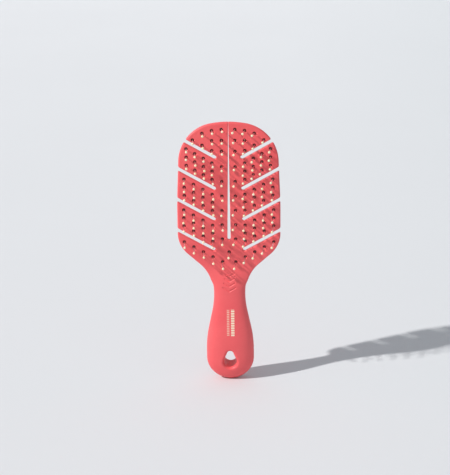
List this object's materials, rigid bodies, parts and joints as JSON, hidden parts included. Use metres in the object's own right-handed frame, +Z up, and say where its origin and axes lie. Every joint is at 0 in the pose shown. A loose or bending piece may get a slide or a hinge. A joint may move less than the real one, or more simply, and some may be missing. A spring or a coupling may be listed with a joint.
{
  "type": "vented detangling hair brush",
  "caption": "Flexible vented hair brush: a thin leaf-shaped head slotted into fingers, ball-tipped nylon pins, and a thick rounded handle with a hanging hole.",
  "frame": {"origin": "level with the end of the handle, on the middle plane, midway between the frontmost pin tips and the rearmost point of the handle", "axes": "+Z up the brush from the handle's end to the top of the head, -Y out of the face with the pins, +X across"},
  "size_m": [0.0724, 0.028, 0.191],
  "materials": {
    "body": "matte coral moulded plastic with a faint grain",
    "pin": "translucent cream nylon, satin"
  },
  "bodies": {
    "handle": {"handle": "body", "neck_web": "body"},
    "head": {"head_frame": "body", "pins_shoulder": "pin", "pins_spine_left": "pin", "pins_spine_right": "pin", "web_left_1": "body", "web_left_2": "body", "web_left_3": "body", "web_left_4": "body", "web_right_1": "body", "web_right_2": "body", "web_right_3": "body", "web_right_4": "body"},
    "finger_left_1": {"finger_left_1": "body", "pins_left_1": "pin"},
    "finger_left_2": {"finger_left_2": "body", "pins_left_2": "pin"},
    "finger_left_3": {"finger_left_3": "body", "pins_left_3": "pin"},
    "finger_left_4": {"finger_left_4": "body", "pins_left_4": "pin"},
    "finger_right_1": {"finger_right_1": "body", "pins_right_1": "pin"},
    "finger_right_2": {"finger_right_2": "body", "pins_right_2": "pin"},
    "finger_right_3": {"finger_right_3": "body", "pins_right_3": "pin"},
    "finger_right_4": {"finger_right_4": "body", "pins_right_4": "pin"}
  },
  "joints": [
    {"name": "head_flex", "type": "hinge", "parent": "handle", "child": "head", "pos_m": [0, 0.00268, 0.08327], "axis": [-1, 0, 0], "range_deg": [-6, 10], "stiffness_Nm_per_rad": 6, "deforming": ["neck_web"]},
    {"name": "flex_left_1", "type": "hinge", "parent": "head", "child": "finger_left_1", "pos_m": [-0.005, 0.00551, 0.1659], "axis": [-1, 0, 0], "range_deg": [-8, 12], "stiffness_Nm_per_rad": 0.5, "deforming": ["web_left_1"]},
    {"name": "flex_left_2", "type": "hinge", "parent": "head", "child": "finger_left_2", "pos_m": [-0.0091, 0.00468, 0.155], "axis": [0, -0.0698, -0.9976], "range_deg": [-8, 12], "stiffness_Nm_per_rad": 0.8, "deforming": ["web_left_2"]},
    {"name": "flex_left_3", "type": "hinge", "parent": "head", "child": "finger_left_3", "pos_m": [-0.0091, 0.00341, 0.1327], "axis": [0, -0.0437, -0.999], "range_deg": [-8, 12], "stiffness_Nm_per_rad": 0.8, "deforming": ["web_left_3"]},
    {"name": "flex_left_4", "type": "hinge", "parent": "head", "child": "finger_left_4", "pos_m": [-0.0091, 0.00272, 0.1104], "axis": [0, -0.0175, -0.9998], "range_deg": [-8, 12], "stiffness_Nm_per_rad": 0.8, "deforming": ["web_left_4"]},
    {"name": "flex_right_1", "type": "hinge", "parent": "head", "child": "finger_right_1", "pos_m": [0.005, 0.00551, 0.1659], "axis": [-1, 0, 0], "range_deg": [-8, 12], "stiffness_Nm_per_rad": 0.5, "deforming": ["web_right_1"]},
    {"name": "flex_right_2", "type": "hinge", "parent": "head", "child": "finger_right_2", "pos_m": [0.0091, 0.00468, 0.155], "axis": [0, 0.0698, 0.9976], "range_deg": [-8, 12], "stiffness_Nm_per_rad": 0.8, "deforming": ["web_right_2"]},
    {"name": "flex_right_3", "type": "hinge", "parent": "head", "child": "finger_right_3", "pos_m": [0.0091, 0.00341, 0.1327], "axis": [0, 0.0437, 0.999], "range_deg": [-8, 12], "stiffness_Nm_per_rad": 0.8, "deforming": ["web_right_3"]},
    {"name": "flex_right_4", "type": "hinge", "parent": "head", "child": "finger_right_4", "pos_m": [0.0091, 0.00272, 0.1104], "axis": [0, 0.0175, 0.9998], "range_deg": [-8, 12], "stiffness_Nm_per_rad": 0.8, "deforming": ["web_right_4"]}
  ]
}
